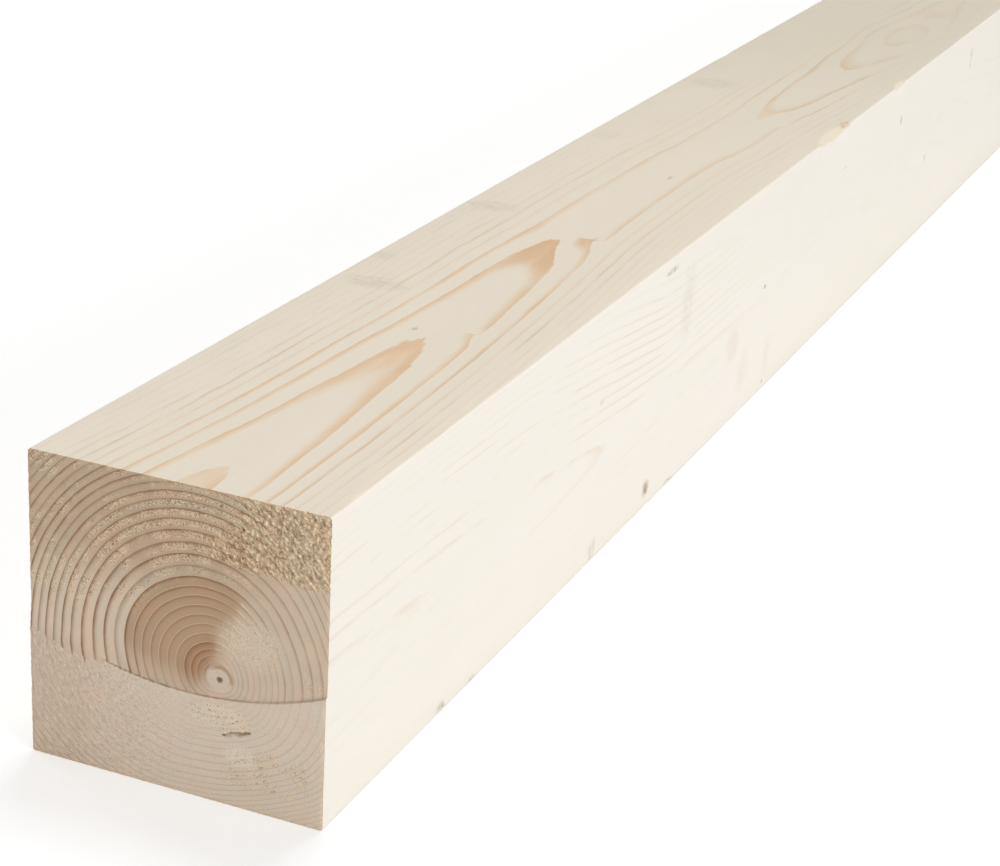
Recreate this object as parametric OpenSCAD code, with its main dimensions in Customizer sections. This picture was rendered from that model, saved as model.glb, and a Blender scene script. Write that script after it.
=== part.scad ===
// Square planed softwood post, lying on its bottom face, sawn end towards -Y.
// All sizes are in millimetres. The origin is the middle of the bottom face.

/* [Planed section] */
// Width of the section, across the top face
section_w = 100; // [75:5:150]
// Height of the section, up the side faces
section_h = 100; // [75:5:150]
// Radius that the planer leaves along the four long edges
arris_r = 1; // [0.5:0.25:4]

/* [Length] */
// Length that the post is sold in
stock_length = 2400; // [1200:300:4800]

/* [Sawn end] */
// Diameter of the circular saw blade that cut the end in two passes
blade_d = 236; // [230:1:400]
// How far the first pass reaches down from the top face
first_pass_reach = 66; // [30:1:70]
// How far the blade stood to the right of the middle of the face
blade_shift = 3.3; // [-15:0.1:15]
// How much deeper the first pass runs than the second
pass_step = 0.8; // [0.2:0.1:2]

/* [Chipped edge] */
// Distance from the sawn end to the middle of the long chip
long_chip_from_end = 517; // [100:1:560]
// Length of the long chip along the top right edge
long_chip_length = 60; // [20:1:120]
// Reach of the long chip across the top face
long_chip_across = 5; // [2:0.5:10]
// Reach of the long chip down the side face
long_chip_down = 2.5; // [1:0.5:8]
// Distance from the sawn end to the middle of the short chip
short_chip_from_end = 642; // [640:1:1000]
// Length of the short chip along the top right edge
short_chip_length = 24; // [10:1:40]
// Reach of the short chip across the top face
short_chip_across = 3; // [2:0.5:6]
// Reach of the short chip down the side face
short_chip_down = 2; // [1:0.5:6]

/* [Pitch pocket] */
// Length of the resin slit in the sawn end
pocket_length = 10.5; // [4:0.5:20]
// Width of the resin slit at its middle
pocket_width = 0.8; // [0.4:0.1:2]
// Depth of the resin slit into the wood
pocket_depth = 3; // [1:0.5:10]
// Distance of the slit's middle from the right side face
pocket_from_right = 29; // [15:1:45]
// Distance of the slit's middle from the bottom face
pocket_from_bottom = 24.5; // [15:0.5:30]
// Slope of the slit, which follows a growth ring
pocket_slope = 16; // [0:1:45]

/* [Hidden] */
$fn = 96;
front_y = -stock_length / 2;
right_x = section_w / 2;
// room that a cutting shape keeps outside the wood
overrun = 5;

// The outline that comes out of the planer, standing on its bottom edge
module planed_section() {
    flat_w = section_w - 2 * arris_r;
    flat_h = section_h - 2 * arris_r;
    translate([0, section_h / 2]) {
        square([flat_w, section_h], center = true);
        square([section_w, flat_h], center = true);
        for (side = [-1, 1], level = [-1, 1])
            translate([side * flat_w / 2, level * flat_h / 2])
                circle(r = arris_r);
    }
}

module planed_bar() {
    rotate([90, 0, 0])
        linear_extrude(height = stock_length, center = true)
            planed_section();
}

// The first pass of the saw came down from above and ran deeper, so the blade's
// own rim is left as a curved ledge across the end
module first_saw_pass() {
    blade_z = section_h - first_pass_reach + blade_d / 2;
    translate([blade_shift, front_y + pass_step, blade_z])
        rotate([90, 0, 0])
            cylinder(d = blade_d, h = pass_step + overrun);
}

// A sliver torn from the top right edge: a wide shallow scoop, whose sphere
// meets the edge over chip_length and slants by its reach on the two faces
module edge_chip(from_end, chip_length, across, down) {
    slant = sqrt(across * across + down * down);
    chip_depth = across * down / slant;
    scoop_r = (chip_length * chip_length / 4 + chip_depth * chip_depth) / (2 * chip_depth);
    stand_off = scoop_r - chip_depth;
    translate([
        right_x + stand_off * down / slant,
        front_y + from_end,
        section_h + stand_off * across / slant
    ])
        sphere(r = scoop_r);
}

// A lens-shaped slit between two growth rings, once full of resin
module pitch_pocket() {
    bow_r = (pocket_length * pocket_length + pocket_width * pocket_width) / (4 * pocket_width);
    translate([right_x - pocket_from_right, front_y + pocket_depth, pocket_from_bottom])
        rotate([90, 0, 0])
            rotate([0, 0, pocket_slope])
                linear_extrude(height = pocket_depth + overrun)
                    intersection_for(side = [-1, 1])
                        translate([0, side * (bow_r - pocket_width / 2)])
                            circle(r = bow_r);
}

module timber_post() {
    color([0.89, 0.83, 0.75])
        difference() {
            planed_bar();
            first_saw_pass();
            edge_chip(long_chip_from_end, long_chip_length, long_chip_across, long_chip_down);
            edge_chip(short_chip_from_end, short_chip_length, short_chip_across, short_chip_down);
            pitch_pocket();
        }
}

timber_post();
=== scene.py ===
import math

import bmesh
import bpy
from mathutils import Matrix, Vector, noise


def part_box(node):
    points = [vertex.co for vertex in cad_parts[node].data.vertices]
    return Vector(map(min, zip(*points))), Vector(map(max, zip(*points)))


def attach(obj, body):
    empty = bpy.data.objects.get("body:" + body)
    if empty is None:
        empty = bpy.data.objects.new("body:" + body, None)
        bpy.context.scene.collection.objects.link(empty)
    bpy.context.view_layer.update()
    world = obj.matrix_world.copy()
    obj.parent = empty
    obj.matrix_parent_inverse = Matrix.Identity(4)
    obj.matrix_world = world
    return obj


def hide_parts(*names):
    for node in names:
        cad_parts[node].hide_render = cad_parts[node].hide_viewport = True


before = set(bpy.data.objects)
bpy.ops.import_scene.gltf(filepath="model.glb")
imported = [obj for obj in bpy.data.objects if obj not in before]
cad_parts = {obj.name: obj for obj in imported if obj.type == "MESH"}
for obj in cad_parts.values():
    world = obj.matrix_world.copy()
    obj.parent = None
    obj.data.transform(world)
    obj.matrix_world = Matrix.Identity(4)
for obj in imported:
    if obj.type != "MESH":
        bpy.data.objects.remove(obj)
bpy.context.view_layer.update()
print("stage: frame loaded")

mm = 0.001
postLow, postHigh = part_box("timber_post")
frontY = postLow.y  # the sawn end that the camera sees
postLength = (postHigh.y - postLow.y) / mm
postWidth = (postHigh.x - postLow.x) / mm
postHeight = (postHigh.z - postLow.z) / mm
halfWidth = postWidth / 2


# Shader sums written as Python sums

class Wire:
    def __init__(self, bench, socket):
        self.bench = bench
        self.socket = socket

    def maths(self, operation, *others):
        return self.bench.maths(operation, self, *others)

    def __add__(self, other):
        return self.maths("ADD", other)

    __radd__ = __add__

    def __sub__(self, other):
        return self.maths("SUBTRACT", other)

    def __rsub__(self, other):
        return self.bench.maths("SUBTRACT", other, self)

    def __mul__(self, other):
        return self.maths("MULTIPLY", other)

    __rmul__ = __mul__

    def __truediv__(self, other):
        return self.maths("DIVIDE", other)

    def __abs__(self):
        return self.maths("ABSOLUTE")


class Bench:
    # where one material's nodes are made
    def __init__(self, tree):
        self.tree = tree
        tree.nodes.clear()

    def node(self, kind, settings, sockets, output=0):
        made = self.tree.nodes.new("ShaderNode" + kind)
        for name, value in settings.items():
            if name == "points":
                self.setPoints(made.mapping, value)
            else:
                setattr(made, name, value)
        for name, value in sockets.items():
            if isinstance(value, Wire):
                self.tree.links.new(value.socket, made.inputs[name])
            else:
                made.inputs[name].default_value = value
        return Wire(self, made.outputs[output])

    def setPoints(self, mapping, points):
        mapping.use_clip = False
        curve = mapping.curves[0]
        while len(curve.points) < len(points):
            curve.points.new(0.5, 0.5)
        for point, place in zip(curve.points, points):
            point.location = place
            point.handle_type = "AUTO"
        mapping.update()

    def maths(self, operation, *values):
        return self.node("Math", {"operation": operation}, dict(enumerate(values)))

    def vector(self, operation, *values, output=0):
        return self.node("VectorMath", {"operation": operation}, dict(enumerate(values)), output)

    def mix(self, share, first, second, how="MIX"):
        settings = {"data_type": "RGBA", "blend_type": how, "clamp_factor": True}
        return self.node("Mix", settings, {0: share, 6: first, 7: second}, 2)

    def grains(self, place, size, detail=2.0, rough=0.5, shift=(0.0, 0.0, 0.0), output=0, curl=0.0):
        # noise whose lumps are about size mm along x, y and z
        stretched = self.vector("MULTIPLY_ADD", place, tuple(1 / s for s in size), shift)
        sockets = {"Vector": stretched, "Scale": 1.0, "Detail": detail}
        sockets.update({"Roughness": rough, "Distortion": curl})
        return self.node("TexNoise", {"noise_dimensions": "3D"}, sockets, output)


# The same formulas serve the mesh, with numbers, and the material, with wires

def sine(value):
    return value.maths("SINE") if isinstance(value, Wire) else math.sin(value)


def root(value):
    return value.maths("SQRT") if isinstance(value, Wire) else math.sqrt(value)


def larger(value, floor):
    return value.maths("MAXIMUM", floor) if isinstance(value, Wire) else max(value, floor)


def smaller(value, ceiling):
    return value.maths("MINIMUM", ceiling) if isinstance(value, Wire) else min(value, ceiling)


def oval(dx, dz, wide, high):
    # a distance from the middle of an oval, squeezed by two shares
    return root(dx * dx * wide + dz * dz * high)


def ease(start, end, value):
    # 0 before start, 1 after end, and smooth between, whichever of the two is the larger
    if isinstance(value, Wire):
        sockets = {"Value": value, "From Min": start, "From Max": end}
        return value.bench.node("MapRange", {"interpolation_type": "SMOOTHSTEP"}, sockets)
    share = min(1.0, max(0.0, (value - start) / (end - start)))
    return share * share * (3 - 2 * share)


def shade(red, green, blue):
    # a colour as a painter reads it, 0 to 255, in the light values that a shader wants
    linear = [((c / 255 + 0.055) / 1.055) ** 2.4 if c > 10 else c / 3294.6 for c in (red, green, blue)]
    return (*linear, 1.0)


# The log that the post was cut from. Lengths in mm: x from the middle, y from the sawn end, z up.
# Every curve is a list of points read off the photo, in pairs of place and value.

log = {
    "pithX": 14.8,
    "pithZ": 40.5,
    "length": 2400.0,
    # the rings aren't round: their radius at an angle from +x, as a share of the widest
    "innerShape": [
        (-180, 0.938), (-150, 0.852), (-120, 0.707), (-90, 0.6), (-67, 0.588), (-35, 0.628),
        (0, 0.645), (30, 0.68), (60, 0.8), (90, 0.926), (120, 0.984), (150, 1.0), (180, 0.938),
    ],
    "outerShape": [
        (-180, 0.99), (-150, 0.893), (-120, 0.75), (-92, 0.638), (-67, 0.618), (-35, 0.674),
        (0, 0.712), (30, 0.757), (60, 0.857), (90, 0.943), (120, 1.0), (150, 1.004), (180, 0.99),
    ],
    "innerRadius": 30.7,
    "outerRadius": 57.5,
    # how many rings lie inside a radius, along the widest way
    "ringCount": [
        (0, 0), (5.6, 2), (12.4, 5), (18.3, 7), (27.5, 10), (33.8, 12), (40.9, 14), (51.6, 17),
        (57.5, 19), (65.4, 22), (75.6, 26), (88, 31), (110, 40),
    ],
    "heartRing": 12.0,
    # how dark each ring's late wood is
    "ringDepth": [
        (1, 0.5), (3, 0.6), (4, 0.7), (5, 0.55), (7, 0.4), (9, 0.45), (10, 0.7), (11, 1.0),
        (12, 0.35), (13, 1.0), (14, 0.8), (15, 0.85), (16, 0.7), (17, 0.95), (18, 0.55), (19, 1.0),
        (20, 0.5), (21, 0.85), (22, 1.0), (23, 0.9), (24, 0.22), (25, 0.8), (26, 0.5), (27, 0.45),
        (28, 0.3), (29, 0.5), (30, 0.35), (31, 0.6), (32, 0.4), (34, 0.6), (36, 0.35),
    ],
    # how many rings the whole log has risen by, at a distance along the post
    "climb": [
        (0, 0), (10, 0.052), (15, 0.105), (17.5, 0.14), (40, 0.36), (80, 0.68), (130, 0.99),
        (142, 1.07), (152, 1.17), (200, 1.5), (250, 1.8), (268, 1.96), (280, 2.07), (288, 2.16),
        (300, 2.22), (350, 2.30), (420, 2.38), (480, 2.32), (520, 2.24), (540, 2.16), (550, 2.04),
        (600, 1.7), (640, 1.36), (659, 1.14), (668, 0.98), (690, 0.68), (715, 0.38), (743, -0.03),
        (757, -0.2), (772, -0.27), (788, -0.2), (802, -0.03), (850, 0.55), (900, 0.95),
    ],
    # and how many more it has risen by, from 900 mm on
    "climbOn": [
        (900, 0), (960, 0.35), (1100, 0.95), (1260, 1.15), (1450, 0.35), (1600, 0.55),
        (1850, 1.95), (2120, 2.45), (2400, 1.75),
    ],
    "nearReach": 900.0,  # mm of the post that the photo shows
    # overgrown bark pockets, where a ring's line ends in a hook: x, y, how many rings it leans
    # and over what length
    "hooks": [(19.0, 163.0, 0.26, 16.0), (14.0, 291.0, 0.42, 40.0), (21.0, 514.0, 0.22, 30.0)],
    # how far the rings lean to the right at the top face, in mm
    "drift": [
        (0, -0.5), (40, 1), (80, 1.8), (130, 1.6), (200, 0.4), (270, -2.2), (350, -3.2),
        (450, 0.4), (520, 3.6), (600, 7), (700, 11), (797, 14), (1000, 6), (1300, -4), (1700, 4),
        (2100, -3), (2400, 0),
    ],
}


# The two passes of the saw, the same as in the part: centre of the blade and its radius

saw = {
    "bladeX": 3.3,
    "bladeZ": 152.0,
    "bladeR": 118.0,
    "step": 0.8,  # the first pass, from above, ran this much deeper
}


def insideFirstPass(x, z):
    # mm inside the blade's rim, and less than 0 below the ledge
    dx = x - saw["bladeX"]
    dz = z - saw["bladeZ"]
    return saw["bladeR"] - root(dx * dx + dz * dz)


def tornCorner(x, z):
    # 1 in the upper right corner, where the fibres were torn out, and 0 elsewhere
    floorLine = ease(76.9, 79.0, z + 0.12 * sine(x * 1.9) + 0.4 * sine(x / 3.0) + 0.05 * (x - 20))
    return floorLine * ease(-4.0, 14.0, x - 5.0 - 0.8 * (z - 80) + 1.4 * sine(z / 1.9))


# Camera: solved from the photo's edges for a 100 mm square section, frame 1000 x 866

view = {
    "place": (311.2, -521.8, 357.8),  # mm, from the middle of the sawn end's bottom edge
    "right": (0.916744, 0.395870, 0.053557),
    "up": (-0.191388, 0.317565, 0.928721),
    "ahead": (-0.350645, 0.861650, -0.366890),
    "focalPixels": 2299.8,
    "framePixels": 1000,
    "sensor": 36.0,
    "nearest": 0.02,  # metres
    "farthest": 60.0,
}


def makeCamera():
    data = bpy.data.cameras.new("photoView")
    data.sensor_width = view["sensor"]
    data.lens = view["focalPixels"] / view["framePixels"] * view["sensor"]
    data.clip_start = view["nearest"]
    data.clip_end = view["farthest"]
    camera = bpy.data.objects.new("photoView", data)
    bpy.context.scene.collection.objects.link(camera)
    right, up, ahead = (Vector(view[k]) for k in ("right", "up", "ahead"))
    turn = Matrix((right, up, -ahead)).transposed().to_4x4()
    place = Vector(view["place"]) * mm + Vector((0, frontY, 0))
    camera.matrix_world = Matrix.Translation(place) @ turn
    bpy.context.scene.camera = camera


makeCamera()
print("stage: camera")


# The post's mesh

postShape = {
    "arris": 1.0,
    "coarseCell": 9.8,  # across the flat faces
    "lengthCell": 10.0,
    # finer and finer towards the sawn end: within how many mm of it, and the cell
    "endCells": [(32, 4.9), (14, 2.45), (6, 1.3), (2.2, 0.62)],
    "fineCell": 0.32,  # where fibres are torn
    "ledgeCell": 0.17,  # along the ledge and round the pitch pocket
    "chipCell": 1.6,
    "nickCell": 1.3,
    "slack": 1.35,  # how much longer than its cell an edge may stay
    "endReach": 6.0,  # how far in the relief of the sawn end dies out
    "tornDepth": 0.7,
    "rimFray": 0.28,
}

chips = [
    {"along": 517, "long": 60, "across": 5.0, "down": 2.5},
    {"along": 642, "long": 24, "across": 3.0, "down": 2.0},
]

pocket = {"x": 21.0, "z": 24.5, "long": 10.5, "wide": 0.8, "deep": 3.0, "slope": 16.0}

# small bruises on the long edges: distance along, which edge (x side, z side), size and depth
nicks = [
    (18, 1, 1, 3.0, 0.4), (96, 1, 1, 4.0, 0.3), (296, 1, 1, 5.0, 0.4), (372, 1, 1, 3.0, 0.3),
    (590, 1, 1, 6.0, 0.4), (784, 1, 1, 7.0, 0.6), (83, 1, -1, 4.0, 0.4), (217, 1, -1, 5.0, 0.4),
    (303, 1, -1, 6.0, 0.4), (640, 1, -1, 4.0, 0.4), (1180, 1, 1, 5.0, 0.5), (1530, 1, -1, 6.0, 0.6),
    (655, -1, 1, 5.0, 0.4), (1310, -1, 1, 7.0, 0.6), (1890, -1, -1, 6.0, 0.6),
    (2160, 1, 1, 5.0, 0.4),
]


def refine(mesh, longest, inside):
    # cuts every edge that is longer than asked and whose middle is inside, until none is left
    for step in range(6):
        long = [
            e for e in mesh.edges
            if inside((e.verts[0].co + e.verts[1].co) / 2)
            and e.calc_length() > longest * postShape["slack"]
        ]
        if not long:
            return
        bmesh.ops.subdivide_edges(mesh, edges=long, cuts=1, use_grid_fill=True)


def cutAcross(mesh, axis, places):
    for place in places:
        point = Vector((0, 0, 0))
        point[axis] = place
        normal = Vector((0, 0, 0))
        normal[axis] = 1
        geometry = mesh.verts[:] + mesh.edges[:] + mesh.faces[:]
        bmesh.ops.bisect_plane(mesh, geom=geometry, plane_co=point, plane_no=normal)


def sectionLines(low, high):
    # places of the cuts: two near each rounded edge, and an even spread over the flat
    arris = postShape["arris"]
    nearEdge = arris * (1 - math.tan(math.radians(22.5)))
    cells = round((high - low - 2 * arris) / postShape["coarseCell"])
    width = (high - low - 2 * arris) / cells
    flat = [low + arris + width * i for i in range(cells + 1)]
    return [low + nearEdge, *flat, high - nearEdge]


def roundArris(co):
    # the planer's small radius: a square corner is pressed onto a quarter circle
    arris = postShape["arris"]
    cx = halfWidth - arris
    low, high = arris, postHeight - arris
    outX = abs(co.x) - cx
    outZ = (co.z - high) if co.z > high else (low - co.z)
    if outX <= 0 or outZ <= 0:
        return
    reach = math.hypot(outX, outZ)
    pressed = max(outX, outZ) / reach
    co.x = math.copysign(cx + outX * pressed, co.x)
    co.z = high + outZ * pressed if co.z > high else low - outZ * pressed


def scoopChip(co, chip):
    # a sliver torn from the top right edge, ridged along the grain
    slant = math.hypot(chip["across"], chip["down"])
    depth = chip["across"] * chip["down"] / slant
    radius = (chip["long"] ** 2 / 4 + depth ** 2) / (2 * depth)
    away = radius - depth
    centreX = halfWidth + away * chip["down"] / slant
    centreZ = postHeight + away * chip["across"] / slant
    out = co - Vector((centreX, chip["along"], centreZ))
    short = radius - out.length
    if short <= 0:
        return
    ridge = noise.noise(Vector((co.x * 1.4, co.y * 0.05, co.z * 1.4)))
    rough = noise.noise(Vector((co.x * 2.5, co.y * 0.35, co.z * 2.5)))
    deeper = ease(0, 0.5, short) * (0.22 * ridge + 0.10 * rough)
    co += out.normalized() * max(0.0, short + deeper)


def nickCorner(nick):
    along, sideX, sideZ = nick[:3]
    return Vector((halfWidth * sideX, along, postHeight if sideZ > 0 else 0))


def bruise(co, nick):
    sideX, sideZ, size, depth = nick[1:]
    away = co - nickCorner(nick)
    away.y *= 0.45  # bruises are longer along the edge
    near = 1 - min(1.0, away.length / size)
    if near <= 0:
        return
    push = depth * near * near * (1 + 0.5 * noise.noise(co * 1.3))
    co.x -= sideX * push
    co.z -= sideZ * push


def slitPlace(x, z):
    # how far a point is along the resin slit, and how far off its wavy middle line
    turn = math.radians(pocket["slope"])
    dx, dz = x - pocket["x"], z - pocket["z"]
    along = dx * math.cos(turn) + dz * math.sin(turn)
    off = dz * math.cos(turn) - dx * math.sin(turn) + sine(along * 1.1) * 0.18
    return along, off


def pocketDepth(x, z):
    # the lens-shaped resin slit
    along, off = slitPlace(x, z)
    halfLong = pocket["long"] / 2
    if abs(along) >= halfLong:
        return 0.0
    halfWide = pocket["wide"] / 2 * (1 - (along / halfLong) ** 2)
    opened = ease(halfWide + 0.12, halfWide * 0.35, abs(off))
    return pocket["deep"] * opened * ease(0, 0.5, 1 - abs(along) / halfLong)


def endDepth(x, z):
    # mm that the sawn end lies behind its foremost plane
    inside = insideFirstPass(x, z)
    ragged = 0.12 * noise.noise(Vector((x * 0.9, 0, z * 0.9)))
    # the step is crisp from a quarter of the way across, and runs out to the left
    runOut = 5.0 * ease(-21.0, -30.0, x)
    upper = ease(-0.12 - runOut, 0.16 + runOut, inside + ragged)
    torn = tornCorner(x, z)
    fromPith = math.hypot(x - log["pithX"], z - log["pithZ"])
    # torn fibres lie along the rings, which slope here
    down, rise = (x - z) * 0.707, (x + z) * 0.707
    grit = noise.turbulence(Vector((down / 1.4, 3.0, rise / 0.7)), 3, False)
    # the blade wandered a little
    depth = saw["step"] * upper + 0.05 + 0.04 * noise.noise(Vector((x / 9, 1.0, z / 9)))
    lumps = noise.noise(Vector((down / 3.4, 5.0, rise / 1.7)))
    depth += torn * (postShape["tornDepth"] * (grit - 0.35) + 0.25 * lumps)
    depth += 0.35 * ease(1.0, 0.3, fromPith)
    depth += pocketDepth(x, z)
    # the four edges of the cut are frayed back
    rim = min(halfWidth - abs(x), z, postHeight - z)
    fray = 0.5 + noise.noise(Vector((x / 1.1, 9.0, z / 1.1)))
    depth += postShape["rimFray"] * ease(0.9, 0.0, rim) * max(0.1, fray)
    return max(0.01, depth)


def makePostMesh():
    mesh = bmesh.new()
    size = Matrix.Diagonal((postWidth, postLength, postHeight, 1))
    middle = Matrix.Translation((0, postLength / 2, postHeight / 2))
    bmesh.ops.create_cube(mesh, size=1, matrix=middle @ size)
    # each face remembers which of the six sides it belongs to
    sideOf = mesh.faces.layers.int.new("side")
    for face in mesh.faces:
        n = face.normal
        axis = max(range(3), key=lambda i: abs(n[i]))
        face[sideOf] = 2 * axis + (1 if n[axis] > 0 else 0)
    cutAcross(mesh, 0, sectionLines(-halfWidth, halfWidth))
    cutAcross(mesh, 2, sectionLines(0, postHeight))
    lengthwise = [e for e in mesh.edges if abs(e.verts[0].co.y - e.verts[1].co.y) > 1]
    slices = round(postLength / postShape["lengthCell"])
    bmesh.ops.subdivide_edges(mesh, edges=lengthwise, cuts=slices - 1, use_grid_fill=True)
    print("stage: post sliced", len(mesh.faces))
    for reach, cell in postShape["endCells"]:
        refine(mesh, cell, lambda p: p.y < reach)
    fine = postShape["fineCell"]
    refine(mesh, fine, lambda p: p.y < 0.1 and tornCorner(p.x, p.z) > 0.05)
    ledge = postShape["ledgeCell"]
    refine(mesh, ledge * 1.5, lambda p: p.y < 0.1 and abs(insideFirstPass(p.x, p.z)) < 0.7)
    refine(mesh, ledge, lambda p: p.y < 0.1 and pocketDepth(p.x, p.z) > 0)
    cell = postShape["chipCell"]
    for chip in chips:
        reach = chip["long"] / 2 + 4
        refine(mesh, cell, lambda p: abs(p.y - chip["along"]) < reach and p.x > 43 and p.z > 95)
    for nick in nicks:
        corner = nickCorner(nick)
        refine(mesh, postShape["nickCell"], lambda p: (p - corner).length < nick[3] * 1.6)
    print("stage: post refined", len(mesh.faces))
    endReach = postShape["endReach"]
    for vert in mesh.verts:
        co = vert.co
        y = co.y
        roundArris(co)
        if y < endReach:
            co.y = y + endDepth(co.x, co.z) * (1 - y / endReach)
        elif co.z > 90 and co.x > 40:
            for chip in chips:
                scoopChip(co, chip)
        if abs(co.x) > halfWidth - 8 and y > 0.5:
            for nick in nicks:
                if abs(nick[0] - y) < 2.5 * nick[3]:
                    bruise(co, nick)
    bmesh.ops.recalc_face_normals(mesh, faces=mesh.faces[:])
    for face in mesh.faces:
        face.smooth = True
    for edge in mesh.edges:
        if len(edge.link_faces) == 2:
            sides = {f[sideOf] // 2 for f in edge.link_faces}
            edge.smooth = not (1 in sides and len(sides) > 1)
    return mesh, sideOf


# Layout of the faces for the bake: four long rows, then the two ends as squares
sheet = {"margin": 0.004, "rowHeight": 0.127, "square": 0.465}


def layOut(mesh, sideOf):
    flat = mesh.loops.layers.uv.new("OFBake")
    margin, row, square = sheet["margin"], sheet["rowHeight"], sheet["square"]
    rows = {0: 0, 1: 1, 4: 2, 5: 3}
    squareBase = 4 * (row + margin) + margin
    for face in mesh.faces:
        side = face[sideOf]
        for loop in face.loops:
            co = loop.vert.co
            across = (co.x + halfWidth) / postWidth if side in (2, 3, 4, 5) else co.z / postHeight
            if side in rows:
                u = margin + co.y / postLength * (1 - 2 * margin)
                v = margin + rows[side] * (row + margin) + across * row
            else:
                u = margin + (side - 2) * (square + margin) + across * square
                v = squareBase + co.z / postHeight * square
            loop[flat].uv = (u, v)


def makePost():
    mesh, sideOf = makePostMesh()
    layOut(mesh, sideOf)
    toMetres = Matrix.Translation((0, frontY, 0)) @ Matrix.Diagonal((mm, mm, mm, 1))
    bmesh.ops.transform(mesh, matrix=toMetres, verts=mesh.verts)
    data = bpy.data.meshes.new("planedPost")
    mesh.to_mesh(data)
    mesh.free()
    post = bpy.data.objects.new("planedPost", data)
    bpy.context.scene.collection.objects.link(post)
    print("stage: post mesh", sum(len(p.vertices) - 2 for p in data.polygons), "triangles")
    return post


# The wood, by its colours

woodLooks = {
    # planed faces
    "topPale": shade(244, 232, 213),
    "topLate": shade(240, 208, 173),
    "topLine": shade(234, 212, 181),
    "topEdge": shade(225, 182, 138),
    "outerLine": shade(221, 209, 188),
    # a grey that also darkens: greyer wood plus painted shade for the top further along
    "greyAndShade": shade(222, 226, 220),
    "sidePale": shade(246, 240, 230),
    "sideLate": shade(240, 227, 211),
    # sawn end
    "endPale": shade(237, 216, 193),
    "endDeep": shade(196, 164, 134),
    "endLine": shade(156, 116, 83),
    "hairline": shade(241, 216, 179),
    "chalk": shade(254, 241, 222),
    "heartCore": shade(193, 148, 104),
    "heartDark": shade(172, 114, 70),
    # pale torn fibres, lightened with a painted highlight
    "tuftPaleAndHighlight": shade(254, 232, 196),
    "ledgeLine": shade(128, 98, 66),
    # painted shade for the pits among torn fibres, and the pith's dark brown
    "pitShadeAndPithBrown": shade(148, 110, 66),
    # golden wood, and the painted highlight where the cut's edges catch light
    "goldAndRimHighlight": shade(235, 193, 141),
    # marks
    "resin": shade(112, 74, 44),
    "knot": shade(180, 128, 76),
    "splinter": shade(246, 230, 196),
    "grime": shade(194, 184, 160),
    "flush": shade(226, 200, 182),
}

# marks on the long faces: place (mm), half sizes (mm), colour and strength
marks = [
    ((50, 275, 8.0), (4, 5.2, 4.6), "knot", 0.70),
    ((50, 275, 8.2), (4, 2.5, 3.0), "resin", 0.66),
    ((50, 652, 79), (4, 2.2, 3.4), "knot", 0.45),
    ((50, 817, 84), (4, 3.2, 8.0), "knot", 0.30),
    ((50, 721, 43.6), (4, 1.8, 3.0), "knot", 0.40),
    ((50, 420, 51.5), (4, 2.2, 1.4), "resin", 0.35),
    ((50, 430, 4.0), (4, 2.0, 1.8), "resin", 0.40),
    ((50, 543, 78), (4, 2.6, 1.5), "grime", 0.50),
    ((50, 378, 37), (4, 13.0, 11.0), "flush", 0.24),
    ((50, 396, 19), (4, 11.0, 12.0), "grime", 0.12),
    ((50, 432, 16), (4, 7.0, 13.0), "flush", 0.14),
    ((50, 287, 94.6), (3, 9.0, 1.7), "grime", 0.65),
    ((50, 310, 76), (3, 9.0, 22.0), "grime", 0.16),
    ((50, 217, 63.5), (3, 3.4, 1.3), "grime", 0.26),
    ((50, 83, 1.6), (3, 4.5, 3.0), "grime", 0.75),
    ((50, 107, 0.8), (3, 4.5, 1.6), "grime", 0.55),
    ((50, 217, 4.5), (3, 4.5, 6.0), "grime", 0.35),
    ((50, 303, 0.6), (4, 9.0, 1.6), "grime", 0.75),
    ((1, 158, 100), (1.4, 2.4, 3), "grime", 0.60),
    ((9.6, 397, 100), (1.5, 4.4, 3), "grime", 0.60),
    ((-33, 196, 100), (15, 9.0, 3), "grime", 0.26),
    ((-38, 313, 100), (13, 11.0, 3), "grime", 0.22),
    ((-46, 228, 100), (7, 6.0, 3), "grime", 0.16),
    ((-34, 585, 100), (15, 16.0, 3), "grime", 0.20),
    ((-40, 452, 100), (9, 12.0, 3), "grime", 0.12),
    ((21, 843, 100), (11, 20.0, 3), "flush", 0.42),
    ((15.2, 292, 100), (1.5, 5.5, 3), "grime", 0.30),
    ((50, 517, 100), (6, 34, 3.2), "splinter", 0.60),
    ((47.5, 540, 99), (2.6, 9, 3.2), "knot", 0.40),
    ((50, 642, 100), (4, 13, 2.6), "splinter", 0.50),
    ((-8, 1370, 100), (7, 9, 4), "knot", 0.5),
    ((-50, 860, 62), (4, 8, 7), "knot", 0.55),
    ((18, 1720, 0), (8, 10, 4), "knot", 0.55),
    ((50, 1985, 30), (4, 5, 4), "knot", 0.60),
]


def curve(bench, value, points, low, high):
    # a hand-drawn curve: points are given between low and high, as the value is
    span = high - low
    scaled = [((place - low) / span, height) for place, height in points]
    sockets = {"Factor": 1.0, "Value": (value - low) / span}
    return bench.node("FloatCurve", {"points": scaled}, sockets)


def pieces(vector):
    # the three parts of a vector
    first = vector.bench.node("SeparateXYZ", {}, {0: vector}, 0)
    return [Wire(vector.bench, first.socket.node.outputs[i]) for i in range(3)]


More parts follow.
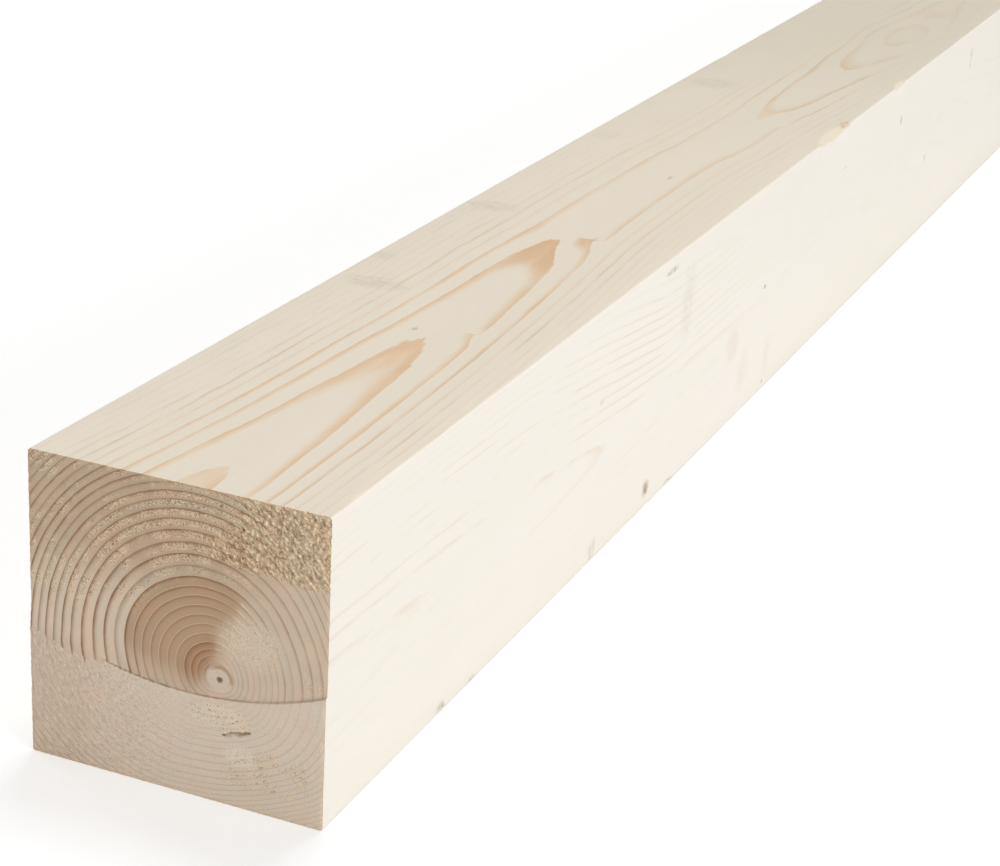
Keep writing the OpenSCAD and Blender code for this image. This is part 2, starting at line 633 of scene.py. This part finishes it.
class Place:
    # where a point of the wood is, and which way its surface faces
    def __init__(self, bench):
        metres = bench.node("TexCoord", {}, {}, 3)
        self.at = bench.vector("MULTIPLY_ADD", metres, (1000, 1000, 1000), (0, -frontY / mm, 0))
        self.x, self.y, self.z = pieces(self.at)
        facingX, facingY, facingZ = pieces(bench.node("NewGeometry", {}, {}, 1))
        nearEnds = larger(ease(8.0, 4.0, self.y), ease(log["length"] - 4, log["length"] - 2, self.y))
        self.isEnd = ease(0.45, 0.75, abs(facingY)) * nearEnds
        self.isSide = ease(0.55, 0.8, facingX)
        self.isTop = ease(0.5, 0.8, facingZ)
        self.isNear = ease(1200.0, 1000.0, self.y)
        self.fibres = bench.grains(self.at, (0.45, 22, 0.45), 3.0, 0.6, (5, 5, 5)) - 0.5
        self.clouds = bench.grains(self.at, (34, 210, 34), 2.0, 0.5, (9, 1, 4)) - 0.5
        self.fray = bench.grains(self.at, (1.1, 14, 1.1), 2.0, 0.6) - 0.5
        self.blotch = bench.grains(self.at, (6, 6, 6), 3.0, 0.55, (1, 8, 2)) - 0.5
        self.grit = bench.grains(self.at, (0.7, 0.7, 0.7), 3.0, 0.65)
        self.pinkness = bench.grains(self.at, (9, 60, 9), 2.0, 0.6, (7, 7, 1)) - 0.5


class Rings:
    # the growth rings, the same through the whole log
    def __init__(self, bench, place):
        reach = log["nearReach"]
        climb = curve(bench, smaller(place.y, reach), log["climb"], 0, reach)
        climb = climb + curve(bench, larger(place.y, reach), log["climbOn"], reach, log["length"])
        drift = curve(bench, place.y, log["drift"], 0, log["length"])
        above = smaller(larger((place.z - log["pithZ"]) / (postHeight - log["pithZ"]), 0.0), 1.0)
        away = ease(300.0, 1100.0, place.y)
        slow = bench.grains(place.at, (60, 330, 60), 1.0, 0.5, (3.1, 0.4, 7.7), 1)
        swing = pieces(bench.vector("SUBTRACT", slow, (0.5, 0.5, 0.5)))
        u = place.x - log["pithX"] - drift * above + swing[0] * away * 4.0
        v = place.z - log["pithZ"] + swing[2] * away * 4.0
        self.radius = root(u * u + v * v)
        self.angle = v.maths("ARCTAN2", u) * (180 / math.pi)
        inner = curve(bench, self.angle, log["innerShape"], -180, 180)
        outer = curve(bench, self.angle, log["outerShape"], -180, 180)
        grown = ease(log["innerRadius"], log["outerRadius"], self.radius / inner)
        widest = self.radius / (inner + (outer - inner) * grown)
        count = curve(bench, widest, log["ringCount"], 0, 110)
        # a knot that grew over bends the rings of the right side
        bend = smaller((place.y - 130) / 148, 1.0)
        bend = bend * ease(120.0, 190.0, place.y) * ease(720.0, 284.0, place.y)
        bend = bend * ease(46.0, 68.0, place.z) * ease(99.0, 82.0, place.z)
        bend = bend * ease(15.0, 42.0, place.x) * 1.8
        self.gap = 0.0
        for hookX, hookY, lean, run in log["hooks"]:
            grow = ease(hookY - run, hookY, place.y) * ease(hookY + 1.2, hookY, place.y)
            grow = grow * ease(11.0, 3.0, abs(place.x - hookX)) * ease(60.0, 96.0, place.z)
            bend = bend + grow * lean
            # past its hook a line is missing for a while
            shut = hookY + (run - 10) * 1.15
            missing = ease(hookY, hookY + 1.5, place.y) * ease(shut, hookY + 4, place.y)
            missing = missing * ease(8.0, 4.0, abs(place.x - hookX - 2))
            self.gap = missing * ease(90.0, 96.0, place.z) + self.gap
        wave = bench.grains(place.at, (9, 80, 9), 1.5, 0.5, (2, 6, 3)) - 0.5
        ripple = bench.grains(place.at, (5, 24, 5), 2.0, 0.6, (4, 2, 8)) - 0.5
        ripple = ripple * (0.12 + 0.75 * ease(-16.0, -36.0, place.x)) * ease(2.0, 20.0, place.y)
        ragged = place.fray * (0.04 + 0.08 * ease(20.0, 70.0, place.y))
        self.number = count + climb + bend + ragged + wave * (0.10 + 0.25 * away) + ripple
        self.part = self.number.maths("FRACT")
        self.whole = self.number.maths("FLOOR")
        self.depth = curve(bench, self.whole, log["ringDepth"], 0, 40)
        # late wood: dark towards the outer side of a ring, which ends sharply.
        # It's broader at the second tip, and narrower at the one that points the other way
        self.broad = ease(46.0, 16.0, abs(place.y - 272)) * ease(16.0, 8.0, abs(place.x - 3))
        narrow = ease(60.0, 30.0, abs(place.y - 590)) * 0.12
        self.late = ease(0.60, 0.90, self.part + self.broad * 0.20 - narrow)
        self.late = self.late * ease(1.0, 0.96, self.part) * (1 - self.gap * 0.85)
        self.line = ease(0.66, 0.93, self.part) * ease(1.0, 0.98, self.part)


def topColour(bench, place, rings, look, patchy):
    outward = ease(29.0, 23.5, rings.number)
    further = ease(560.0, 260.0, place.y)
    # the outer rings, along both edges, are greyer
    outer = larger(ease(-18.0, -34.0, place.x), ease(26.0, 37.0, place.x) * 0.9) * place.isTop
    leftPart = ease(0.0, -13.0, place.x)
    # all lines grow faint further along, those on the left sooner
    fading = place.y + larger(outer * 110, leftPart * 80)
    faint = ease(600.0, 740.0, fading) * ease(1150.0, 950.0, place.y)
    faint = 1 - faint * (0.62 + 0.30 * larger(outer, leftPart)) * place.isTop
    # paler between the second tip and the third
    between = ease(285.0, 350.0, place.y) * 0.36 + ease(430.0, 510.0, place.y) * 0.22
    between = 1 - between * ease(560.0, 530.0, place.y) * place.isTop
    late = rings.late * smaller(rings.depth * 1.3, 1.0) * (0.35 + 0.65 * outward)
    late = late * faint * between * (0.9 - 0.1 * outer + patchy * (2.0 + 3.2 * outer))
    flatCut = ease(10.0, 2.0, abs(place.x - log["pithX"] + 8)) * ease(23.6, 23.0, rings.number)
    orange = larger(flatCut, outward * further * 0.6) + patchy * 0.9
    lateColour = bench.mix(orange, look["topLine"], look["topLate"])
    lateColour = bench.mix(rings.broad * 0.60, lateColour, look["topEdge"])
    dull = outer * (0.8 - 0.25 * ease(20.0, 40.0, place.x))
    lateColour = bench.mix(dull, lateColour, look["outerLine"])
    top = bench.mix(late, look["topPale"], lateColour)
    contour = ease(0.84, 0.95, rings.part) * ease(1.0, 0.975, rings.part)
    contour = contour * outward * (0.5 + patchy * 2.0)
    return bench.mix(contour * 0.45 * faint * between, top, look["topEdge"])


def sideColour(bench, place, rings, look, patchy):
    # the side's rings show best near the end and about the overgrown knot
    nearKnot = larger(ease(430.0, 290.0, place.y), ease(900.0, 1200.0, place.y) * 0.7)
    shown = (0.25 + 0.75 * nearKnot) * ease(0.34, 0.60, patchy * 1.6 + place.clouds + 0.5)
    shown = shown * (0.25 + 0.75 * ease(34.0, 50.0, place.z))
    shown = shown * (0.35 + 0.65 * ease(96.0, 82.0, place.z))
    knotty = ease(46.0, 6.0, abs(place.y - 262)) * ease(30.0, 8.0, abs(place.z - 72))
    looped = ease(50.0, 20.0, abs(place.y - 205)) * ease(16.0, 7.0, abs(place.z - 46))
    thin = ease(0.68, 0.93, rings.part - looped * 0.14) * ease(1.0, 0.96, rings.part)
    late = thin * (rings.depth * 0.4 + 0.45) * shown * (1.15 + 0.7 * knotty + 1.1 * looped)
    return bench.mix(late, look["sidePale"], look["sideLate"])


def planedColour(bench, place, rings, look):
    # the long faces
    clouds = place.clouds
    patchy = bench.grains(place.at, (9, 46, 9), 3.0, 0.6, (8, 3, 8)) - 0.5
    top = topColour(bench, place, rings, look, patchy)
    side = sideColour(bench, place, rings, look, patchy)
    colour = bench.mix(place.isSide, top, side)
    streak = 1 + place.fibres * 0.08 + clouds * 0.05
    tint = bench.node("CombineColor", {}, {0: streak, 1: streak, 2: streak * (1 + clouds * 0.05)})
    colour = bench.mix(1.0, colour, tint, "MULTIPLY")
    # further along, the top turns greyer and darker: the darkening is painted shade, standing in for
    # the lamps' falloff along the post
    furtherGreyAndShade = ease(380.0, 800.0, place.y) * place.isTop * (1 - place.isSide)
    colour = bench.mix(furtherGreyAndShade * 0.42, colour, bench.mix(1.0, colour, look["greyAndShade"], "MULTIPLY"))
    # the marks, smeared and broken up by the grain
    smear = 0.5 + 0.8 * ease(0.42, 0.60, bench.grains(place.at, (5, 2.4, 5), 3.0, 0.6, (3, 9, 3)))
    for middle, halves, name, strength in marks:
        scale = tuple(1 / h for h in halves)
        shift = tuple(-m / h for m, h in zip(middle, halves))
        reach = bench.vector("LENGTH", bench.vector("MULTIPLY_ADD", place.at, scale, shift), output=1)
        broken = reach + place.fray * 0.7 + place.blotch * 0.8
        colour = bench.mix(ease(1.05, 0.3, broken) * smear * strength, colour, look[name])
    return colour


def sawnColour(bench, place, rings, look):
    # the sawn end, and the places that its relief needs too
    x, z, part, blotch = place.x, place.z, rings.part, place.blotch
    inside = insideFirstPass(x, z)
    # the step runs out to the left, where only combed streaks end the upper rings
    runOut = ease(-23.0, -34.0, x)
    combed = bench.grains(place.at, (1.3, 9, 6), 2.0, 0.7, (1, 1, 1)) - 0.5
    upper = ease(-0.15, 0.15, inside + runOut * (3.6 + combed * 9.0))
    upper = upper * place.isNear + (1 - place.isNear) * 0.75
    # darker towards the upper left and, less, in the lower left
    upperMid = ease(46.0, 80.0, z) * ease(42.0, 12.0, x) * (1 - 0.45 * ease(-20.0, -42.0, x))
    deepUp = upper * (0.16 + 0.54 * upperMid + 0.14 * ease(-20.0, -48.0, x))
    deepDown = (1 - upper) * (0.42 * ease(-16.0, -38.0, x) - 0.20)
    gradient = ease(0.35, 1.0, part)
    strong = upper * ease(30.0, -4.0, x - 0.25 * (z - 40)) * ease(13.0, 28.0, rings.radius)
    whiter = strong * ease(0.75, 0.35, part) * ease(76.0, 58.0, z) * ease(36.0, 50.0, z) * 0.33
    deep = deepUp + deepDown + blotch * 0.45 + gradient * (0.08 + 0.20 * strong) - whiter
    colour = bench.mix(deep, look["endPale"], look["endDeep"])
    # the darker heart, cut off by the second pass, and fading to the right of the pith
    dx, dz = x - log["pithX"], z - log["pithZ"]
    ragged = blotch * 8.0 + (part - 0.5) * 4.0
    fadeRight = ease(7.0, -2.0, dx - 4.4 - (dz - 26.2) * 0.43 + ragged)
    fadeRight = larger(fadeRight, 1 - place.isNear)
    fadeLedge = larger(ease(0.5, 10.0, inside + x * 0.10), 1 - place.isNear)
    isHeart = ease(log["heartRing"] + 0.03, log["heartRing"] - 0.03, rings.number) * upper
    heart = isHeart * fadeRight * (0.3 + 0.7 * fadeLedge) * ease(3.9, 5.2, rings.radius)
    toTop = ease(-6.0, 16.0, dz - abs(dx) * 0.5)
    heartColour = bench.mix(gradient * (0.35 + 0.22 * toTop), look["endDeep"], look["heartCore"])
    colour = bench.mix(heart * 0.9, colour, heartColour)
    core = heart * ease(15.0, 11.0, rings.radius) * ease(5.0, -3.0, dx - dz * 0.35)
    colour = bench.mix(core * (0.35 + 0.60 * gradient), colour, look["heartDark"])
    # ring lines, faint and combed in the lower left
    lowLeft = (1 - upper) * ease(22.0, -16.0, x) * ease(2.0, 16.0, z + x * 0.3 + 8)
    lowShare = 0.14 + 0.16 * ease(34.0, 4.0, z - x * 0.2) - 0.10 * lowLeft
    line = rings.line * rings.depth * (0.42 + 0.48 * strong) * upper
    line = line + rings.line * lowShare * (1 - upper)
    chalkRight = ease(12.0, 4.0, oval(x - 25.0, z - 54.5, 0.65, 1.3)) * place.isNear
    line = line * (1 - core * 0.4) * (1 - chalkRight * 0.6)
    line = line * (1 + place.clouds * 0.9 + blotch * 1.6) * ease(3.0, 5.0, rings.radius)
    colour = bench.mix(line, colour, look["endLine"])
    # a bright hairline outside each ring of the heart
    hairline = ease(0.15, 0.03, part) * heart * ease(16.0, -4.0, dx + blotch * 16)
    colour = bench.mix(hairline * (1.1 * place.grit - 0.1), colour, look["hairline"])
    # the torn comb where the heart fades out
    comb = fadeRight * (1 - fadeRight) * 4 * isHeart * ease(4.0, 12.0, rings.radius)
    colour = bench.mix(comb * ease(0.45, 0.10, part) * 0.65, colour, look["tuftPaleAndHighlight"])
    # short fibres that the second pass lifted, lying along the rings
    swept = bench.node("CombineXYZ", {}, {0: rings.angle / 2.0, 1: rings.number * 4.2, 2: 0.0})
    scratch = bench.grains(swept, (1, 1, 1), 3.0, 0.7, (4, 4, 2), curl=0.7)
    scratched = (1 - upper) * (0.30 + 0.70 * ease(14.0, -14.0, x)) * place.isNear
    colour = bench.mix(ease(0.50, 0.66, scratch) * scratched * 0.55, colour, look["chalk"])
    colour = bench.mix(ease(0.48, 0.32, scratch) * scratched * 0.55, colour, look["endDeep"])
    # chalky bruised wood to the right of the heart, and round the pitch pocket
    chalkLow = ease(8.0, 2.0, oval(x - 22.0, z - 17.5, 0.8, 1.4))
    chalkPith = ease(8.0, 4.0, oval(x - 15.0, z - 28.6, 0.30, 1.9))
    paler = larger(ease(4.4, 3.6, rings.radius) * 0.4, (1 - upper) * ease(-26.0, 4.0, x) * 0.55)
    chalk = larger(larger(chalkRight * 0.6, chalkLow * 1.5), chalkPith * 1.25)
    chalk = larger(chalk, paler) * place.isNear
    chalk = chalk * ease(0.20, 0.60, place.grit + blotch * 0.5)
    colour = bench.mix(chalk * 0.60, colour, look["chalk"])
    colour, rough = tornFibres(bench, place, rings, look, colour, upper, chalkRight, chalkPith)
    colour = endMarks(bench, place, rings, look, colour, upper)
    return colour, rough, scratched


def tornFibres(bench, place, rings, look, colour, upper, chalkRight, chalkPith):
    # torn fibres, in the corner and in rows along the rings: pale curls lightened by a painted
    # highlight, over dark pits of painted shade
    x, z, part = place.x, place.z, rings.part
    ramp = tornCorner(x, z) * place.isNear
    row = ease(0.16, 0.34, part) * ease(0.95, 0.78, part) * place.isNear
    along = bench.grains(place.at, (8, 8, 8), 2.0, 0.6, (4, 4, 1))
    sector = ease(48.0, 62.0, z) * ease(28.0, 38.0, rings.radius) * ease(40.0, 14.0, x) * upper * row
    lowZone = ease(24.0, 18.0, z) * ease(4.0, 10.0, z) * ease(12.0, 24.0, x) * ease(49.0, 42.0, x)
    lowRows = lowZone * row * place.isNear
    rightRows = ease(7.0, 3.0, oval(x - 43.0, z - 46.0, 0.7, 1.5)) * row * 0.6
    tufted = larger(larger(sector, lowRows), rightRows * place.isNear)
    # mostly in the few rings that the blade caught worst
    caught = ease(43.0, 50.0, rings.radius) * ease(60.0, 54.0, rings.radius)
    along = along + 0.12 * caught + 0.14 * ease(-18.0, 10.0, x) * ease(60.0, 80.0, z)
    along = along - 0.04 + 0.13 * lowZone
    tufted = tufted * (0.12 + 0.88 * ease(0.44, 0.58, along))
    lumpy = bench.grains(place.at, (3, 3, 2.4), 3.0, 0.7, (6, 6, 6)) - 0.5
    torn = ease(0.20, 0.55, ramp + (row - 0.6) * 0.35 + lumpy * 0.9) * ease(0.02, 0.14, ramp)
    rough = larger(torn, tufted * 0.8)
    rough = larger(rough, (chalkPith * row * 0.8 + chalkRight * 0.42) * place.isNear)
    fine = bench.grains(place.at, (0.55, 1.0, 0.50), 3.0, 0.7, (3, 1, 9), curl=1.0)
    slanting = bench.node("CombineXYZ", {}, {0: (x - z) / 2.7, 1: (x + z) / 1.05, 2: 0.0})
    coarse = bench.grains(slanting, (1, 1, 1), 4.0, 0.75, (8, 1, 2), curl=1.2)
    lumps = bench.grains(place.at, (4, 4, 3), 2.0, 0.6, (2, 2, 6)) - 0.5
    curls = fine + (coarse - fine) * torn * 0.75
    golden = ease(0.52, 0.66, bench.grains(place.at, (2.4, 2, 1.6), 3.0, 0.6, (5, 3, 1)))
    colour = bench.mix(torn * (0.26 + 0.45 * golden), colour, look["goldAndRimHighlight"])
    # pale curl tops, with a painted highlight
    colour = bench.mix(rough * ease(0.47, 0.55, curls + lumps * 0.14), colour, look["tuftPaleAndHighlight"])
    # painted shade in the pits between the curls
    pitShade = ease(0.455, 0.37, curls + lumps * 0.20) * (0.95 - 0.22 * torn * ease(94.0, 84.0, z))
    colour = bench.mix(rough * pitShade, colour, look["pitShadeAndPithBrown"])
    colour = bench.mix(torn * rings.line * 0.38 * ease(54.0, 30.0, x), colour, look["endLine"])
    return colour, rough


def endMarks(bench, place, rings, look, colour, upper):
    # what lies on the sawn end, over its wood
    x, z, blotch = place.x, place.z, place.blotch
    # the ledge's dark line, from a quarter of the way across
    ledge = ease(0.23, 0.05, abs(insideFirstPass(x, z))) * ease(-27.0, -22.0, x) * place.isNear
    colour = bench.mix(ledge * (0.62 - 0.3 * ease(0.0, 40.0, x)), colour, look["ledgeLine"])
    # the pith, in its pale disc
    dx, dz = x - log["pithX"], z - log["pithZ"]
    pith = root(dx * dx + dz * dz)
    crescent = ease(3.1, 3.7, pith) * ease(5.0, 4.3, pith) * ease(-25.0, 5.0, rings.angle)
    crescent = crescent * ease(150.0, 100.0, rings.angle) * place.isNear
    colour = bench.mix(crescent * 0.7, colour, look["heartCore"])
    colour = bench.mix(ease(1.35, 0.6, pith + place.fray * 0.8) * 0.95, colour, look["pitShadeAndPithBrown"])
    # resin in the pitch pocket
    along, off = slitPlace(x, z)
    slit = ease(0.50, 0.20, abs(off)) * ease(5.4, 4.6, abs(along)) * place.isNear
    colour = bench.mix(slit * 0.85, colour, look["resin"])
    # the four edges of the cut: a painted highlight where they catch light, and resin
    rim = smaller(smaller(halfWidth - abs(x), z), postHeight - z)
    frayedRimHighlight = ease(0.9, 0.2, rim + blotch * 2.5)
    ramp = tornCorner(x, z) * place.isNear
    colour = bench.mix(frayedRimHighlight * (0.30 + 0.25 * ramp), colour, look["goldAndRimHighlight"])
    # each ring has its own tone
    ringTone = bench.node("TexWhiteNoise", {"noise_dimensions": "1D"}, {1: rings.whole}) - 0.5
    tone = place.pinkness + ringTone * 0.35 * upper
    flush = 1 + tone * 0.16
    tint = bench.node("CombineColor", {}, {0: flush, 1: 1.0, 2: 1 + tone * -0.05 + blotch * 0.07})
    return bench.mix(1.0, colour, tint, "MULTIPLY")


def makeWood():
    material = bpy.data.materials.new("planedSoftwood")
    material.use_nodes = True
    bench = Bench(material.node_tree)
    output = bench.tree.nodes.new("ShaderNodeOutputMaterial")
    shader = bench.tree.nodes.new("ShaderNodeBsdfPrincipled")
    bench.tree.links.new(shader.outputs[0], output.inputs[0])
    place = Place(bench)
    rings = Rings(bench, place)
    planed = planedColour(bench, place, rings, woodLooks)
    sawn, rough, scratched = sawnColour(bench, place, rings, woodLooks)
    colour = bench.mix(place.isEnd, planed, sawn)
    bench.tree.links.new(colour.socket, shader.inputs["Base Color"])
    roughness = 0.62 + 0.12 * place.isEnd + place.fibres * 0.15
    bench.tree.links.new(roughness.socket, shader.inputs["Roughness"])
    shader.inputs["Specular IOR Level"].default_value = 0.3

    # relief: mm of height, which is worked out three times, so its graph is kept small
    across = bench.grains(place.at, (0.55, 4, 0.55), 3.0, 0.65, (2, 2, 2)) - 0.5
    woolly = ease(0.42, 0.62, bench.grains(place.at, (12, 30, 12), 2.0, 0.6, (6, 2, 5)))
    woolly = woolly * ease(10.0, -30.0, place.x)
    longRelief = across * (0.06 + 0.22 * woolly) + place.fibres * 0.06
    relief = longRelief * (1 - place.isEnd) + place.grit * place.isEnd
    deepness = 1 - place.isEnd * (0.88 - 0.30 * rough - 0.10 * scratched)
    bump = bench.node("Bump", {}, {"Strength": 1.0, "Distance": deepness * mm, "Height": relief})
    bench.tree.links.new(bump.socket, shader.inputs["Normal"])
    return material


# The white room

studio = {
    "floorColour": (0.8, 0.8, 0.8, 1.0),
    "floorGlow": 0.365,
    "floorSize": 30.0,  # metres from the middle to an edge
    "whiteFrom": 2.4,  # metres from the middle, where the lamps reach it less
    "whiteTo": 4.0,  # and where it's plain white
    "roomLight": 0.42,
    # name, place, what it's aimed at, size and watts
    "lamps": [
        ("windowBehind", (0.0, 2.2, 8.2), (0, -1.2, 0), 3.4, 197),
        ("windowRight", (5.2, -2.8, 1.6), (0, -0.6, 0), 2.6, 152),
        ("overhead", (-0.2, -1.5, 2.4), (0, -1.2, 0), 1.5, 4.2),
        ("windowLeft", (-4.6, 0.9, 0.8), (0, 0.2, 0), 1.4, 60),
    ],
}


def makeFloor():
    floorMaterial = bpy.data.materials.new("paleFloor")
    floorMaterial.use_nodes = True
    bench = Bench(floorMaterial.node_tree)
    output = bench.tree.nodes.new("ShaderNodeOutputMaterial")
    rays = bench.tree.nodes.new("ShaderNodeLightPath")
    seen = Wire(bench, rays.outputs["Is Camera Ray"])
    seen = larger(seen, Wire(bench, rays.outputs["Is Glossy Ray"]))
    seen = larger(seen, Wire(bench, rays.outputs["Is Transmission Ray"]))
    matte = bench.node("BsdfDiffuse", {}, {"Color": studio["floorColour"]})
    glow = bench.node("Emission", {}, {"Color": (1, 1, 1, 1), "Strength": studio["floorGlow"]})
    lifted = bench.node("AddShader", {}, {0: matte, 1: glow})
    # where the lamps no longer reach it, the floor is plain white
    spot = bench.node("TexCoord", {}, {}, 3)
    away = ease(studio["whiteFrom"], studio["whiteTo"], bench.vector("LENGTH", spot, output=1))
    white = bench.node("Emission", {}, {"Color": (1, 1, 1, 1), "Strength": 1.0})
    lifted = bench.node("MixShader", {}, {0: away, 1: lifted, 2: white})
    mixed = bench.node("MixShader", {}, {0: seen, 1: matte, 2: lifted})
    bench.tree.links.new(mixed.socket, output.inputs[0])
    mesh = bmesh.new()
    bmesh.ops.create_grid(mesh, x_segments=1, y_segments=1, size=studio["floorSize"])
    data = bpy.data.meshes.new("floor")
    mesh.to_mesh(data)
    mesh.free()
    floor = bpy.data.objects.new("floor", data)
    floor.data.materials.append(floorMaterial)
    bpy.context.scene.collection.objects.link(floor)


def makeRoom():
    world = bpy.data.worlds.new("softRoom")
    bpy.context.scene.world = world
    world.use_nodes = True
    bench = Bench(world.node_tree)
    output = bench.tree.nodes.new("ShaderNodeOutputWorld")
    rays = bench.tree.nodes.new("ShaderNodeLightPath")
    seen = Wire(bench, rays.outputs["Is Camera Ray"])
    strength = studio["roomLight"] + (1 - studio["roomLight"]) * seen
    glow = bench.node("Background", {}, {"Color": (1, 1, 1, 1), "Strength": strength})
    bench.tree.links.new(glow.socket, output.inputs[0])


def makeLamp(name, place, aim, size, power):
    data = bpy.data.lights.new(name, "AREA")
    data.shape = "DISK"
    data.size = size
    data.energy = power
    lamp = bpy.data.objects.new(name, data)
    bpy.context.scene.collection.objects.link(lamp)
    place, aim = Vector(place), Vector(aim)
    turn = (aim - place).to_track_quat("-Z", "Y").to_matrix().to_4x4()
    lamp.matrix_world = Matrix.Translation(place) @ turn


post = makePost()
post.data.materials.append(makeWood())
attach(post, "root")
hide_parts("timber_post")
print("stage: wood")

makeFloor()
makeRoom()
for lamp in studio["lamps"]:
    makeLamp(*lamp)
print("stage: studio")

bpy.context.scene.view_settings.view_transform = "Standard"
print("stage: finished")
